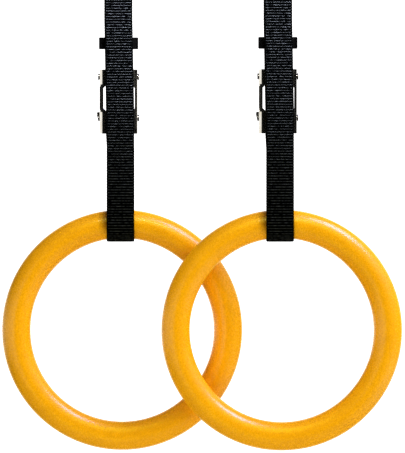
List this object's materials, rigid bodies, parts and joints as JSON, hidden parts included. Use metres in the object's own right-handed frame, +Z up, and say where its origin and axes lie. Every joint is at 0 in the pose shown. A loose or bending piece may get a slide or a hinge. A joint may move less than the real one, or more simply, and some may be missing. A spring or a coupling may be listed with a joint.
{
  "type": "gymnastics rings",
  "caption": "Pair of round grip rings hung in webbing loops, with cam buckles that set their height and keepers for the loose ends.",
  "frame": {"origin": "on the axis of the bar that the strap loops hang over, midway between the two rings", "axes": "+X along the bar from the left ring to the right, -Y is the front, +Z up along the straps"},
  "size_m": [0.3926, 0.0902, 0.4803],
  "materials": {
    "ring_plastic": "orange-yellow moulded plastic with a fine pebbled grain and a soft sheen",
    "webbing": "black ribbed polyester webbing with a rounded selvedge",
    "plated_steel": "bright pale gold plated pressed steel, worn on the edges",
    "pin_steel": "turned steel pins with flat peened heads",
    "spring_steel": "drawn spring wire",
    "keeper_plastic": "black moulded plastic, fine satin texture"
  },
  "bodies": {
    "left_loop": {"left_bar_loop": "webbing"},
    "left_strap": {"left_front_strand": "webbing", "left_back_strand": "webbing", "left_tail": "webbing", "left_sewn_strand": "webbing", "left_buckle_frame": "plated_steel", "left_anchor_pin": "pin_steel", "left_cam_axle": "pin_steel", "left_cam_spring": "spring_steel"},
    "left_lever": {"left_cam_lever": "plated_steel"},
    "left_slider": {"left_keeper": "keeper_plastic"},
    "left_hanger": {"left_ring_loop": "webbing"},
    "left_grip": {"left_ring": "ring_plastic"},
    "right_loop": {"right_bar_loop": "webbing"},
    "right_strap": {"right_front_strand": "webbing", "right_back_strand": "webbing", "right_tail": "webbing", "right_sewn_strand": "webbing", "right_buckle_frame": "plated_steel", "right_anchor_pin": "pin_steel", "right_cam_axle": "pin_steel", "right_cam_spring": "spring_steel"},
    "right_lever": {"right_cam_lever": "plated_steel"},
    "right_slider": {"right_keeper": "keeper_plastic"},
    "right_hanger": {"right_ring_loop": "webbing"},
    "right_grip": {"right_ring": "ring_plastic"}
  },
  "joints": [
    {"name": "left_twist", "type": "hinge", "parent": "left_loop", "child": "left_strap", "pos_m": [-0.082, 0.0165, -0.04], "axis": [0, 0, 1], "range_deg": [0, 90], "stiffness_Nm_per_rad": 0.01},
    {"name": "left_height", "type": "slide", "parent": "left_strap", "child": "left_hanger", "axis": [0, 0, 1], "range_m": [0, 0.05], "deforming": ["left_front_strand", "left_back_strand"]},
    {"name": "left_swing", "type": "hinge", "parent": "left_hanger", "child": "left_grip", "pos_m": [-0.07985, 0.0165, -0.241], "axis": [1, 0, 0], "range_deg": [0, 120]},
    {"name": "left_lever_press", "type": "hinge", "parent": "left_strap", "child": "left_lever", "pos_m": [-0.08185, 0.0404, -0.1367], "axis": [-1, 0, 0], "range_deg": [0, 30], "stiffness_Nm_per_rad": 0.06, "springref_deg": -28.65, "deforming": ["left_cam_spring"]},
    {"name": "left_keeper_slide", "type": "slide", "parent": "left_strap", "child": "left_slider", "axis": [0, 0, 1], "range_m": [-0.004, 0.014]},
    {"name": "right_twist", "type": "hinge", "parent": "right_loop", "child": "right_strap", "pos_m": [0.0745, -0.0165, -0.04], "axis": [0, 0, 1], "range_deg": [0, 90], "stiffness_Nm_per_rad": 0.01},
    {"name": "right_height", "type": "slide", "parent": "right_strap", "child": "right_hanger", "axis": [0, 0, 1], "range_m": [0, 0.05], "deforming": ["right_front_strand", "right_back_strand"]},
    {"name": "right_swing", "type": "hinge", "parent": "right_hanger", "child": "right_grip", "pos_m": [0.07665, -0.0165, -0.241], "axis": [-1, 0, 0], "range_deg": [0, 120]},
    {"name": "right_lever_press", "type": "hinge", "parent": "right_strap", "child": "right_lever", "pos_m": [0.07465, 0.0074, -0.1367], "axis": [-1, 0, 0], "range_deg": [0, 30], "stiffness_Nm_per_rad": 0.06, "springref_deg": -28.65, "deforming": ["right_cam_spring"]},
    {"name": "right_keeper_slide", "type": "slide", "parent": "right_strap", "child": "right_slider", "axis": [0, 0, 1], "range_m": [-0.004, 0.014]},
    {"name": "loop_spacing", "type": "slide", "parent": "left_loop", "child": "right_loop", "axis": [1, 0, 0], "range_m": [0, 0.35]}
  ]
}
